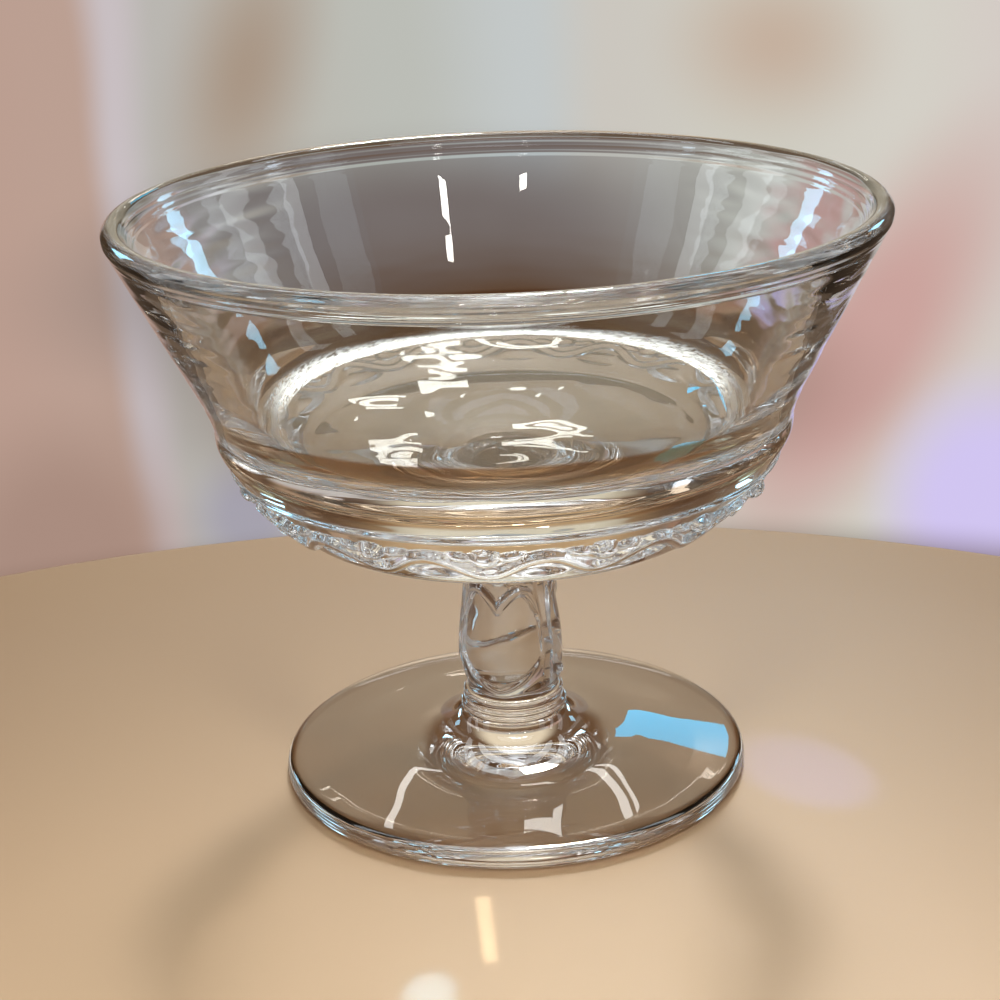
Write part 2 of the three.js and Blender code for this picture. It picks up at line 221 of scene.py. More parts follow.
def border_relief(slope, turns):
    """Heights of the festoon, the buds in its dips and the thumb facets over the lower slope."""
    steps = np.linalg.norm(np.diff(slope, axis=0), axis=1)
    along = np.concatenate([[0], np.cumsum(steps)])[:, None]
    length = along[-1, 0]
    degrees = np.arange(turns)[None, :] * 360 / turns - BORDER_TURN
    pitch = 360 / REPEATS
    radius = slope[:, 0][:, None]
    phase = np.radians(REPEATS * degrees)
    middle = (DIP + CREST) / 2 - (CREST - DIP) / 2 * np.cos(phase)
    rise = (CREST - DIP) / 2 * length * np.sin(phase) * REPEATS / radius
    off = (along - middle * length) / np.sqrt(1 + rise ** 2)
    groove = GROOVE_DEEP * np.exp(-((off + GROOVE_OFF) / GROOVE_WIDE) ** 2)
    ribbon = RIBBON_HIGH * soft_step((RIBBON_HALF - np.abs(off)) / RIBBON_EDGE) - groove
    line = LINE_HIGH * np.exp(-((along - LINE_UP * length) / LINE_WIDE) ** 2)
    line = np.broadcast_to(line, off.shape)
    beside_bud = radius * np.radians((degrees + pitch / 2) % pitch - pitch / 2)
    beside_facet = radius * np.radians(degrees % pitch - pitch / 2)
    up = along - BUD_UP * length
    bud = BUD_HIGH * np.sqrt(dish(beside_bud / BUD_WIDE, up / BUD_TALL))
    leaf_off = np.abs(beside_bud) - LEAF_OFF
    leaf = LEAF_HIGH * np.sqrt(dish(leaf_off / LEAF_WIDE, (up - LEAF_SLANT * leaf_off) / LEAF_TALL))
    facet = -FACET_DEEP * dish(beside_facet / FACET_WIDE, (along - FACET_UP * length) / FACET_TALL)
    facet = facet * soft_step((-off - FACET_OFF) / FACET_EDGE)
    fade = soft_step(along / FADE_FOOT) * soft_step((length - along) / FADE_TOP)
    return RELIEF_SCALE * (np.maximum.reduce([ribbon, bud, leaf, line]) + facet) * fade


# Stem
def stem_piece(turns=300):
    foot_z, top_z = STEM_FOOT_Z + SEAM, ROOT_Z - SEAM
    runs = [
        straight((0, foot_z), (NECK[0], foot_z), SEAM_STEPS),
        straight((NECK[0], foot_z), NECK, 3),
        sway(NECK, NECK_BOW, BULB_FOOT_BOW, BULB, 28),
        sway(BULB, BULB_TOP_BOW, WAIST_FOOT_BOW, WAIST, 56),
        bow(WAIST, WAIST_BOW, FLARE, 20),
        bow(FLARE, FLARE_BOW, (STEM_TOP_RADIUS, top_z), 14),
        straight((STEM_TOP_RADIUS, top_z), (0, top_z), SEAM_STEPS),
    ]
    path = np.vstack([[(0, foot_z)]] + runs)
    relief = np.zeros((len(path), turns))
    skin = slice(len(runs[0]) + len(runs[1]), len(path) - len(runs[-1]))
    relief[skin] = heart_relief(path[skin], turns)
    return turned_body("stem_glass", path, turns, relief, fused=["foot", "top"])


def heart_relief(path, turns):
    """Rounded straps along the heart outlines, sunk panels inside them and small buds above."""
    pitch = 360 / HEARTS
    degrees = np.arange(turns) * 360 / turns - KNOP_TURN
    away = np.abs((degrees + pitch / 2) % pitch - pitch / 2)
    t = np.clip(away / HEART_HALF, 0, 1)
    point = 1 - np.sqrt(1 - t * t) * (1 - HEART_POINT * t)
    lower = HEART_TIP_Z + (HEART_MID_Z - HEART_TIP_Z) * point
    lobe = np.clip(away / HEART_LOBE_TURN, 0, 1)
    fall = np.clip((away - HEART_LOBE_TURN) / (HEART_HALF - HEART_LOBE_TURN), 0, 1)
    upper = np.where(
        away < HEART_LOBE_TURN,
        HEART_NOTCH_Z + (HEART_LOBE_Z - HEART_NOTCH_Z) * np.sin(lobe * math.pi / 2),
        HEART_MID_Z + (HEART_LOBE_Z - HEART_MID_Z) * np.sqrt(1 - fall * fall),
    )
    z, r = path[:, 1][:, None], path[:, 0][:, None]
    side = r * np.radians(HEART_HALF - away)[None, :]
    clear = np.minimum(np.minimum(z - lower[None, :], upper[None, :] - z), side)
    by_row, by_turn = np.gradient(clear)
    row_step = np.maximum(np.gradient(path[:, 1])[:, None], 1e-3)
    steep = np.hypot(by_row / row_step, by_turn / (r * math.radians(360 / turns)))
    inside = clear / np.clip(steep, 1.0, 4.0)
    strap = STRAP_HIGH * np.exp(-((inside + STRAP_OUT) / STRAP_WIDE) ** 2)
    panel = -PANEL_DEEP * soft_step((inside - PANEL_IN) / PANEL_EDGE)
    gap = 180 / HEARTS
    beside = r * np.radians((degrees + gap / 2) % gap - gap / 2)[None, :]
    bud = KNOP_BUD_HIGH * np.sqrt(dish(beside / KNOP_BUD_WIDE, (z - KNOP_BUD_Z) / KNOP_BUD_TALL))
    return np.maximum(strap + panel, bud)


# Collar and foot
def collar_piece(turns=180):
    ring = (RING_RADIUS - RING_BEAD, COLLAR_FOOT_Z + RING_BEAD)
    upper = (UPPER_RING_RADIUS - UPPER_RING_BEAD, STEM_FOOT_Z - UPPER_RING_BEAD)
    lower_arc = round_over(ring, RING_BEAD, *RING_ARC, 14)
    upper_arc = round_over(upper, UPPER_RING_BEAD, *UPPER_RING_ARC, 12)
    gap = (lower_arc[-1][0] - RING_GAP_IN, upper_arc[0][1] - RING_GAP_DROP)
    runs = [
        straight((0, COLLAR_FOOT_Z), (ring[0], COLLAR_FOOT_Z), SEAM_STEPS),
        lower_arc,
        bow(lower_arc[-1], gap, upper_arc[0], 4),
        upper_arc,
        straight(upper_arc[-1], (NECK[0], STEM_FOOT_Z), 2),
        straight((NECK[0], STEM_FOOT_Z), (0, STEM_FOOT_Z), SEAM_STEPS),
    ]
    path = np.vstack([[(0, COLLAR_FOOT_Z)]] + runs)
    return turned_body("collar_glass", path, turns, fused=["foot", "top"])


def foot_piece(turns=300):
    top_z = COLLAR_FOOT_Z - SEAM
    widest = (FOOT_RADIUS, FOOT_EDGE / 2)
    runs = [
        bow((0, HOLLOW_DEEP), HOLLOW_BOW, (HOLLOW_RADIUS, 0), 14),
        straight((HOLLOW_RADIUS, 0), (REST_RADIUS, 0), 3),
        bow((REST_RADIUS, 0), (FOOT_RADIUS, 0), widest, 10),
        bow(widest, (FOOT_RADIUS, FOOT_EDGE), FOOT_EDGE_TOP, 10),
        straight(FOOT_EDGE_TOP, DOME_FOOT, 12),
        bow(DOME_FOOT, DOME_BOW, (DOME_TOP_RADIUS, top_z), 20),
        straight((DOME_TOP_RADIUS, top_z), (0, top_z), SEAM_STEPS),
    ]
    path = np.vstack([[(0, HOLLOW_DEEP)]] + runs)
    return turned_body("foot_glass", path, turns, fused=["top"])


# Finishes
def place(tree, kind, values=None, **settings):
    """A new node; each value is a number or colour for its socket, or the output to join to it."""
    node = tree.nodes.new(kind)
    for name, value in settings.items():
        setattr(node, name, value)
    for name, value in (values or {}).items():
        if isinstance(value, bpy.types.NodeSocket):
            tree.links.new(value, node.inputs[name])
        else:
            node.inputs[name].default_value = value
    return node


def reckon(tree, operation, *terms):
    return place(tree, "ShaderNodeMath", dict(enumerate(terms)), operation=operation).outputs["Value"]


def product(tree, first, *others):
    for other in others:
        first = reckon(tree, "MULTIPLY", first, other)
    return first


def rest_of(tree, share):
    return reckon(tree, "SUBTRACT", 1.0, share)


def share_of(tree, value, span, shares=(0.0, 1.0), curve="SMOOTHSTEP"):
    """A share that goes from the first to the second of shares while value goes along span."""
    limits = {"From Min": span[0], "From Max": span[1], "To Min": shares[0], "To Max": shares[1]}
    node = place(tree, "ShaderNodeMapRange", {"Value": value, **limits}, interpolation_type=curve)
    return node.outputs["Result"]


def zone(tree, value, span, shares=(0.0, 1.0), curve="SMOOTHSTEP"):
    """A share along a span in millimetres."""
    return share_of(tree, value, [edge * MM for edge in span], shares, curve)


def lay_over(tree, share, under, over, way="MIX"):
    """One colour over another, by share; each is a plain colour or an output."""
    tones = [tone if isinstance(tone, bpy.types.NodeSocket) else (*tone, 1) for tone in (under, over)]
    values = {"Factor": share, "A": tones[0], "B": tones[1]}
    return place(tree, "ShaderNodeMix", values, data_type="RGBA", blend_type=way).outputs["Result"]


def noise(tree, where, scale, detail, roughness=0.5):
    values = {"Vector": where, "Scale": scale, "Detail": detail, "Roughness": roughness}
    return place(tree, "ShaderNodeTexNoise", values).outputs["Fac"]


def length_of(tree, vector):
    return place(tree, "ShaderNodeVectorMath", {0: vector}, operation="LENGTH").outputs["Value"]


def split(tree, vector):
    return place(tree, "ShaderNodeSeparateXYZ", {"Vector": vector}).outputs


def own_place(tree):
    return place(tree, "ShaderNodeTexCoord").outputs["Object"]


def from_axis(tree, where):
    """The distance from the upright axis of the glass."""
    level = place(tree, "ShaderNodeMapping", {"Vector": where, "Scale": (1, 1, 0)})
    return length_of(tree, level.outputs["Vector"])


def new_finish(name, values):
    """A finish and its shader, with the values that are the same all over it."""
    finish = bpy.data.materials.new(name)
    finish.use_nodes = True
    shader = finish.node_tree.nodes["Principled BSDF"]
    for socket, value in values.items():
        shader.inputs[socket].default_value = value
    return finish, finish.node_tree, shader


def new_glow(name):
    """A finish with no shader yet, for a backdrop or a pane that gives light."""
    finish, tree, shader = new_finish(name, {})
    tree.nodes.remove(shader)
    return finish, tree


def show(tree, output):
    tree.links.new(output, tree.nodes["Material Output"].inputs["Surface"])


# Zones of the skin in millimetres: each grows from the first value to the second. Z is a height,
# R a distance from the axis and X a distance to either side.
WAVED_Z, WAVED_SHARES = (66.0, 55.0), (0.06, 1.0)
RIDGED_Z, RIDGED_SHARES = (68.0, 56.0), (0.008, 0.36)
RIDGED_X, RIDGED_X_SHARES, RIDGE_SCALE = (26.0, 40.0), (0.0, 2.2), (60, 60, 280)
# The base, band and floor zones mark where shade is painted into the glass's colour.
ABOVE_BORDER_Z, BASE_SHADE_Z, THICK_Z, THICK_SHARES = (46.2, 48.2), (66.0, 56.0), (58.5, 54.5), (0.12, 1.0)
SHADE_BAND_Z, SHADE_BAND_R, FLOOR_SHADE_R = (58.5, 57.0), (33.8, 35.0), (31.8, 30.0)
SHADE_BAND_RATE, SHADE_BAND_PHASE, SHADE_BAND_SPAN = 1150.0, 0.7, (-0.45, 0.25)
BORDER_Z, OFF_FOOT_Z, OFF_STEM_R = (46.8, 45.8), (30.0, 34.0), (18.0, 22.0)
LIP_Z, LIP_LINE_RATE = (RIM_HEIGHT - 3.3, RIM_HEIGHT - 2.7), 6600.0
LIP_LINE_HEIGHT, LIP_LIFT = 0.000016, 0.000060
HAZY_R, HAZY_Z, HAZY_OFF, HAZY_SHARES = 31.4, 51.3, (1.4, 0.3), (0.0, 0.3)
FOG_SCALE, FOG_SPAN, FOG_SHARES, TINTED_SPAN = 55.0, (0.45, 0.8), (0.0, 0.035), (0.35, 0.7)
# The base, band and floor tones are painted shade: they darken the glass where the shaded table shows
# through it.
WAVE_TONE, BASE_SHADE_TONE, BAND_SHADE_TONE = (0.95, 0.94, 0.93), (0.81, 0.77, 0.74), (0.52, 0.29, 0.14)
FLOOR_SHADE_TONE, BORDER_TONE = (0.64, 0.64, 0.70), (0.97, 0.99, 1.0)
SLANT_SPAN = (0.12, 0.62)  # lamp light is lost along this, from square to the skin to edge on


def mould_ripple_group():
    """Slow waves, lines under the rim, graded tint with painted shade, and faint haze of a pressed skin.
    """
    tree = bpy.data.node_groups.new("mould_ripple", "ShaderNodeTree")
    for name, way, kind in (
        ("Wave Scale", "INPUT", "NodeSocketFloat"), ("Wave Height", "INPUT", "NodeSocketFloat"),
        ("Tint", "INPUT", "NodeSocketColor"), ("Height", "OUTPUT", "NodeSocketFloat"),
        ("Colour", "OUTPUT", "NodeSocketColor"), ("Haze", "OUTPUT", "NodeSocketFloat"),
    ):
        tree.interface.new_socket(name, in_out=way, socket_type=kind)
    given, out = tree.nodes.new("NodeGroupInput").outputs, tree.nodes.new("NodeGroupOutput").inputs
    where = own_place(tree)
    spot, reach = split(tree, where), from_axis(tree, where)
    x, z = spot["X"], spot["Z"]
    wave = noise(tree, where, given["Wave Scale"], 1.0, 0.35)
    above_border = zone(tree, z, ABOVE_BORDER_Z)

    # Heights: waves in the base, ridges that run round the wall, and lines under the rim.
    waves = product(tree, wave, given["Wave Height"], zone(tree, z, WAVED_Z, WAVED_SHARES))
    drawn_out = place(tree, "ShaderNodeMapping", {"Vector": where, "Scale": RIDGE_SCALE})
    ridge = noise(tree, drawn_out.outputs["Vector"], 1.0, 1.0)
    ridge = product(tree, ridge, given["Wave Height"])
    on_wall = zone(tree, z, RIDGED_Z, RIDGED_SHARES)
    on_side = zone(tree, reckon(tree, "ABSOLUTE", x), RIDGED_X, RIDGED_X_SHARES)
    ridged = product(tree, reckon(tree, "MAXIMUM", on_wall, on_side), above_border)
    height = reckon(tree, "MULTIPLY_ADD", ridge, ridged, waves)
    lip_line = reckon(tree, "SINE", reckon(tree, "MULTIPLY", z, LIP_LINE_RATE))
    lip_line = reckon(tree, "MULTIPLY_ADD", lip_line, LIP_LINE_HEIGHT, LIP_LIFT)
    height = reckon(tree, "MULTIPLY_ADD", lip_line, zone(tree, z, LIP_Z), height)
    tree.links.new(height, out["Height"])

    # Haze: faint fog all over, and more in a ring at the corner of the floor.
    fog = share_of(tree, noise(tree, where, FOG_SCALE, 4.0, 0.6), FOG_SPAN, FOG_SHARES, "LINEAR")
    aside, aloft = reckon(tree, "SUBTRACT", reach, HAZY_R * MM), reckon(tree, "SUBTRACT", z, HAZY_Z * MM)
    off_ring = place(tree, "ShaderNodeCombineXYZ", {"X": aside, "Y": aloft})
    ring = zone(tree, length_of(tree, off_ring.outputs["Vector"]), HAZY_OFF, HAZY_SHARES)
    tree.links.new(reckon(tree, "ADD", fog, ring), out["Haze"])

    # Colour: the tint, with painted shade deeper in the thick base, in its bands and in the floor,
    # standing in for the shaded table seen through them, and clear at the border.
    tinted = share_of(tree, wave, TINTED_SPAN, curve="LINEAR")
    colour = lay_over(tree, tinted, given["Tint"], WAVE_TONE, "MULTIPLY")
    base_shade = product(tree, above_border, zone(tree, z, BASE_SHADE_Z))
    colour = lay_over(tree, base_shade, colour, BASE_SHADE_TONE, "MULTIPLY")
    shade_stripe = reckon(tree, "SINE", reckon(tree, "MULTIPLY_ADD", z, SHADE_BAND_RATE, SHADE_BAND_PHASE))
    band_shade = product(tree, share_of(tree, shade_stripe, SHADE_BAND_SPAN), zone(tree, reach, SHADE_BAND_R))
    band_shade = product(tree, band_shade, product(tree, zone(tree, z, SHADE_BAND_Z), above_border))
    colour = lay_over(tree, band_shade, colour, BAND_SHADE_TONE, "MULTIPLY")
    floor_shade = product(tree, zone(tree, reach, FLOOR_SHADE_R), above_border)
    colour = lay_over(tree, floor_shade, colour, FLOOR_SHADE_TONE, "MULTIPLY")
    off_foot = zone(tree, z, OFF_FOOT_Z, curve="LINEAR")
    off_stem = zone(tree, reach, OFF_STEM_R, curve="LINEAR")
    on_border = product(tree, zone(tree, z, BORDER_Z), off_foot, off_stem)
    tree.links.new(lay_over(tree, on_border, colour, BORDER_TONE), out["Colour"])
    return tree


def let_light_through(tree, glass, face_on, edge_on=None):
    """Lamp light passes the glass, and loses most where it meets the skin edge on."""
    path = place(tree, "ShaderNodeLightPath").outputs
    lamp_light = reckon(tree, "MAXIMUM", path["Is Shadow Ray"], path["Is Diffuse Ray"])
    inside = reckon(tree, "MODULO", path["Transmission Depth"], 2.0)
    inside = reckon(tree, "MAXIMUM", inside, path["Is Transmission Ray"])
    sheen = product(tree, path["Is Glossy Ray"], rest_of(tree, inside))
    passing = reckon(tree, "MAXIMUM", lamp_light, sheen)
    clear = place(tree, "ShaderNodeBsdfTransparent")
    both = place(tree, "ShaderNodeMixShader",
                 {0: passing, 1: glass.outputs["BSDF"], 2: clear.outputs["BSDF"]})
    show(tree, both.outputs["Shader"])
    if edge_on is None:
        clear.inputs["Color"].default_value = (*face_on, 1)
        return
    slant = place(tree, "ShaderNodeLayerWeight", {"Blend": 0.5}).outputs["Facing"]
    thick = zone(tree, split(tree, own_place(tree))["Z"], THICK_Z, THICK_SHARES, "LINEAR")
    not_sheen = rest_of(tree, path["Is Glossy Ray"])
    lost = product(tree, share_of(tree, slant, SLANT_SPAN), thick, not_sheen)
    tree.links.new(lay_over(tree, lost, face_on, edge_on), clear.inputs["Color"])


def clear_glass(name, ripple, wave_scale, wave_height, tint, face_on, edge_on):
    finish, tree, glass = new_finish(name, {"Transmission Weight": 1.0, "IOR": 1.5, "Metallic": 0.0})
    waves = {"Wave Scale": wave_scale, "Wave Height": wave_height, "Tint": (*tint, 1)}
    skin = place(tree, "ShaderNodeGroup", waves, node_tree=ripple).outputs
    bump = place(tree, "ShaderNodeBump", {"Strength": 1.0, "Distance": 1.0, "Height": skin["Height"]})
    tree.links.new(bump.outputs["Normal"], glass.inputs["Normal"])
    tree.links.new(skin["Colour"], glass.inputs["Base Color"])
    tree.links.new(skin["Haze"], glass.inputs["Roughness"])
    let_light_through(tree, glass, face_on, edge_on)
    return finish


def fused_seam(ripple):
    """Faces where two parts of the glass are fused: light passes straight through."""
    finish, tree, glass = new_finish(
        "fused_seam", {"Transmission Weight": 1.0, "IOR": 1.0, "Roughness": 0.0})
    waves = {"Wave Scale": 60.0, "Tint": (0.998, 0.999, 0.998, 1)}
    skin = place(tree, "ShaderNodeGroup", waves, node_tree=ripple)
    tree.links.new(skin.outputs["Colour"], glass.inputs["Base Color"])
    let_light_through(tree, glass, (1, 1, 1))
    return finish


ripple = mould_ripple_group()
seam = fused_seam(ripple)
pieces = (
    ("bowl", bowl_piece, clear_glass(
        "bowl_glass", ripple, 90.0, 0.00018, tint=(0.88, 0.935, 0.965),
        face_on=(1.0, 1.0, 0.99), edge_on=(0.12, 0.105, 0.09))),
    # The stem's tint is darker than the bowl's: painted shade that stands in for the dark surroundings
    # seen through the stem.
    ("stem", stem_piece, clear_glass(
        "stem_glass", ripple, 200.0, 0.00016, tint=(0.78, 0.79, 0.80),
        face_on=(1.0, 1.0, 1.0), edge_on=(0.90, 0.88, 0.86))),
    ("collar", collar_piece, clear_glass(
        "collar_glass", ripple, 200.0, 0.00008, tint=(0.88, 0.86, 0.84),
        face_on=(1.0, 1.0, 1.0), edge_on=(0.90, 0.88, 0.86))),
    ("foot", foot_piece, clear_glass(
        "foot_glass", ripple, 80.0, 0.00008, tint=(0.96, 0.91, 0.86),
        face_on=(0.54, 0.45, 0.37), edge_on=(0.42, 0.38, 0.34))),
)
for node, make, finish in pieces:
    piece = make()
    piece.data.materials.append(finish)
    piece.data.materials.append(seam)
    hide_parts(node)
    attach(piece, "root")


# Wear on the floor of the bowl
RING_CLEAR, WORN_R, WORN_OFF, WORN_X, WORN_SPREAD = 0.03, 31.1, (0.8, 0.25), (6.0, 27.0), (1.0, 2.4)
WORN_Y, WORN_Y_SHARES = (-5.0, 12.0), (0.06, 1.0)
STROKE_RATE, STROKE_SLANT, STROKE_SPAN = 2600.0, 26.0, (0.36, 0.56)
PATCH_SCALE, PATCH_SPAN, PATCH_SHARES = 55.0, (0.30, 0.48), (0.7, 1.0)


def worn_ring(turns=360):
    """Fine scratches left by spoons round the corner of the floor, a film just above the glass."""
    path = np.vstack([[cup_wall()[1]], floor_corner()])
    path = path + RING_CLEAR * normals_along(path)
    angle = np.radians(np.arange(turns) * 360 / turns)
    r, z = path[:, :1], np.repeat(path[:, 1:], turns, axis=1)
    points = np.stack([r * np.cos(angle), r * np.sin(angle), z], axis=2).reshape(-1, 3) * MM
    return new_object("worn_ring", points.tolist(), skin_faces(len(path), turns))


def scratched_finish():
    """Bright strokes in a narrow band, wider at the sides and most of them at the back."""
    finish, tree, skin = new_finish(
        "spoon_scratches", {"Base Color": (0.98, 0.98, 0.96, 1), "Roughness": 0.6, "Metallic": 1.0})
    where = own_place(tree)
    spot, reach = split(tree, where), from_axis(tree, where)
    across = product(tree, reach, STROKE_RATE)
    turn = reckon(tree, "ARCTAN2", spot["Y"], spot["X"])
    slant = reckon(tree, "MULTIPLY_ADD", turn, STROKE_SLANT, across)
    lines = place(tree, "ShaderNodeCombineXYZ", {"X": slant, "Y": across}).outputs["Vector"]
    strokes = share_of(tree, noise(tree, lines, 1.0, 3.0, 0.65), STROKE_SPAN, curve="LINEAR")
    patches = share_of(tree, noise(tree, where, PATCH_SCALE, 2.0), PATCH_SPAN, PATCH_SHARES, "LINEAR")
    off = reckon(tree, "ABSOLUTE", reckon(tree, "SUBTRACT", reach, WORN_R * MM))
    spread = zone(tree, reckon(tree, "ABSOLUTE", spot["X"]), WORN_X, WORN_SPREAD, "LINEAR")
    band = zone(tree, reckon(tree, "DIVIDE", off, spread), WORN_OFF)
    at_back = zone(tree, spot["Y"], WORN_Y, WORN_Y_SHARES)
    tree.links.new(product(tree, strokes, patches, band, at_back), skin.inputs["Alpha"])
    return finish


ring = worn_ring()
ring.data.materials.append(scratched_finish())
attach(ring, "root")


# Stage: a round table top, a soft curtain behind it and the lights
TABLE_RADIUS, TABLE_EDGE, TABLE_THICK = 199.3, 6.0, 22.0
TABLE_PLACE = (-0.0093, -0.103, -0.00005)
WOOD_DARK, WOOD_PALE, WOOD_SCALE = (0.36, 0.225, 0.12), (0.42, 0.275, 0.155), 9.0
CURTAIN_RADIUS, CURTAIN_FOOT_Z, CURTAIN_TOP_Z = 0.62, -0.75, 0.085
CURTAIN_START, CURTAIN_SWEEP, CURTAIN_STEPS = -15, 210, 96
FOLD_WIDE, FOLD_SWAY, FOLD_CENTRE = 0.23, 0.05, -0.025
SHADED_X, SHADED_Z, SHADED_TONE = (0.24, 0.30), (-0.195, -0.225), (0.14, 0.092, 0.060)
# Folds from left to right, painted with their light and shade as well as the curtain's own pink and
# cream: the share of the way across and the colour.
PAINTED_FOLDS = (
    (0.02, (0.50, 0.34, 0.28)), (0.12, (0.50, 0.35, 0.29)), (0.152, (0.58, 0.52, 0.54)),
    (0.19, (0.49, 0.47, 0.44)), (0.28, (0.50, 0.48, 0.43)), (0.41, (0.50, 0.51, 0.47)),
    (0.54, (0.55, 0.58, 0.58)), (0.61, (0.60, 0.57, 0.52)), (0.74, (0.62, 0.60, 0.53)),
    (0.87, (0.66, 0.63, 0.57)), (0.98, (0.66, 0.60, 0.56)),
)
# Soft patches: middle x and z, half width and height, tilt, share that is full, colour.
PATCHES = (
    (-0.105, 0.010, 0.040, 0.090, 18, 0.0, (0.40, 0.31, 0.24)),
    (0.120, 0.015, 0.060, 0.050, 0, 0.0, (0.56, 0.44, 0.35)),
    (0.160, -0.120, 0.050, 0.150, 28, 0.2, (0.60, 0.37, 0.34)),
    (0.212, -0.185, 0.055, 0.075, 12, 0.3, (0.64, 0.56, 0.88)),
    (-0.200, -0.200, 0.070, 0.085, 0, 0.3, (0.40, 0.265, 0.215)),
    (-0.118, -0.190, 0.035, 0.040, 0, 0.2, (0.38, 0.36, 0.42)),
    (-0.030, -0.082, 0.205, 0.072, 0, 0.25, (0.21, 0.172, 0.162)),
    (0.0, -0.135, 0.190, 0.070, 0, 0.2, (0.15, 0.08, 0.045)),
)


def table_top():
    reach = TABLE_RADIUS - TABLE_EDGE
    path = np.vstack([
        [(0, -TABLE_THICK)],
        straight((0, -TABLE_THICK), (reach, -TABLE_THICK), 3),
        round_over((reach, -TABLE_THICK + TABLE_EDGE), TABLE_EDGE, -90, 0, 6),
        round_over((reach, -TABLE_EDGE), TABLE_EDGE, 0, 90, 6),
        straight((reach, 0), (0, 0), 6),
    ])
    top = turned_body("table_top", path, 180)
    top.location = TABLE_PLACE
    finish, tree, skin = new_finish("pale_wood", {"Roughness": 0.42, "Specular IOR Level": 0.6})
    cloud = noise(tree, own_place(tree), WOOD_SCALE, 3.0)
    tree.links.new(lay_over(tree, cloud, WOOD_DARK, WOOD_PALE), skin.inputs["Base Color"])
    top.data.materials.append(finish)
    return top


def curtain():
    """A soft backdrop that glows a little, in pale folds whose light and shade are painted on the flat
    sheet.
    """
    points, faces = [], []
    for i in range(CURTAIN_STEPS + 1):
        a = math.radians(CURTAIN_START + CURTAIN_SWEEP * i / CURTAIN_STEPS)
        x, y = CURTAIN_RADIUS * math.cos(a), CURTAIN_RADIUS * math.sin(a)
        points += [(x, y, CURTAIN_FOOT_Z), (x, y, CURTAIN_TOP_Z)]
    for i in range(CURTAIN_STEPS):
        faces.append((2 * i, 2 * i + 1, 2 * i + 3, 2 * i + 2))
    cloth = new_object("curtain", points, faces, smooth=False)
    cloth.data.materials.append(curtain_finish())
    return cloth


def curtain_finish():
    finish, tree = new_glow("soft_curtain")
    where = own_place(tree)
    spot = split(tree, where)
    drift = reckon(tree, "MULTIPLY_ADD", noise(tree, where, 4.0, 2.0, 0.4), FOLD_SWAY, FOLD_CENTRE)
    across = reckon(tree, "ADD", spot["X"], drift)
    share = share_of(tree, across, (-FOLD_WIDE, FOLD_WIDE), curve="LINEAR")
    # Painted light and shade of the folds, laid across the flat sheet.
    painted_folds = place(tree, "ShaderNodeValToRGB", {"Fac": share})
    stops = painted_folds.color_ramp.elements
    painted_folds.color_ramp.interpolation = "EASE"
    for at, colour in PAINTED_FOLDS:
        stops.new(at).color = (*colour, 1)
    stops.remove(stops[0])
    stops.remove(stops[-1])
    tone = painted_folds.outputs["Color"]
    for x, z, wide, tall, tilt, full, colour in PATCHES:
        patch = place(tree, "ShaderNodeMapping", {
            "Vector": where, "Location": (x, 0, z), "Rotation": (0, math.radians(tilt), 0),
            "Scale": (wide, 1e6, tall)}, vector_type="TEXTURE")
        soft = share_of(tree, length_of(tree, patch.outputs["Vector"]), (1.0, full))
        tone = lay_over(tree, soft, tone, colour)
    far_side = share_of(tree, reckon(tree, "ABSOLUTE", spot["X"]), SHADED_X)
    below = share_of(tree, spot["Z"], SHADED_Z)
    tone = lay_over(tree, reckon(tree, "MAXIMUM", far_side, below), tone, SHADED_TONE)
    show(tree, place(tree, "ShaderNodeEmission", {"Strength": 1.0, "Color": tone}).outputs["Emission"])
    return finish


# Light in the room: directions in degrees, distances in metres.
DIM_ROOM, BRIGHT_ROOM = (0.145, 0.082, 0.042), (0.90, 0.80, 0.61)
BRIGHT_TURN, BRIGHT_FOOT, BRIGHT_TOP = (24, 11), (-0.02, 0.14), (0.78, 0.62)
SKY, SIDE_SKY, STRIP_BLUE = (0.35, 0.74, 1.0), (0.72, 0.86, 1.0), (0.05, 0.60, 1.0)
WHITE, KEY_WHITE, PANEL_WHITE = (1.0, 0.97, 0.92), (1.0, 0.97, 0.88), (0.90, 0.96, 1.0)
PANE_WHITE, FOOT_WHITE, POOL_WHITE = (1.0, 0.96, 0.86), (1.0, 0.97, 0.90), (0.80, 0.90, 0.96)
PANE_AWAY, WIDE_AWAY, KEY_PANE_AWAY, FOOT_PANE_Y, PANE_BASE_Z = 8, 11, 7, 0.5, 0.004
STRIP_GLOW, PANE_GLOW, KEY_PANE_GLOW = 6.5, 7, 1.5
STRIP = [(6.8, 21.8), (8.2, 22.2), (9.8, 23.4), (13.2, 25.8), (13.4, 29.2), (9.6, 28.0), (7.2, 24.8)]
# Panes seen in the bowl's floor: left, right, foot and top, each shown as two bars set aside.
FAR_PANES = (
    (-5.0, -3.3, 19.0, 20.4), (-2.3, -0.7, 20.9, 22.2), (-0.3, 1.8, 21.7, 22.5), (0.3, 3.0, 18.7, 19.3),
)
BAR_SHARE, BAR_SHIFT = 0.42, 0.22
# Panes seen in the foot, as x and z of their corners.
FOOT_PANES = (
    [(0.0674, 0.3507), (0.0730, 0.3383), (0.0860, 0.4008), (0.0795, 0.4081)],
    [(0.0786, 0.3329), (0.0810, 0.3275), (0.0920, 0.3926), (0.0890, 0.3980)],
    [(-0.0915, 0.3332), (-0.0879, 0.3355), (-0.0920, 0.4115), (-0.0991, 0.4080)],
    [(0.0023, 0.4343), (0.0307, 0.4289), (0.0324, 0.4208), (0.0401, 0.4164), (0.0337, 0.4410),
     (0.0017, 0.4439)],
)
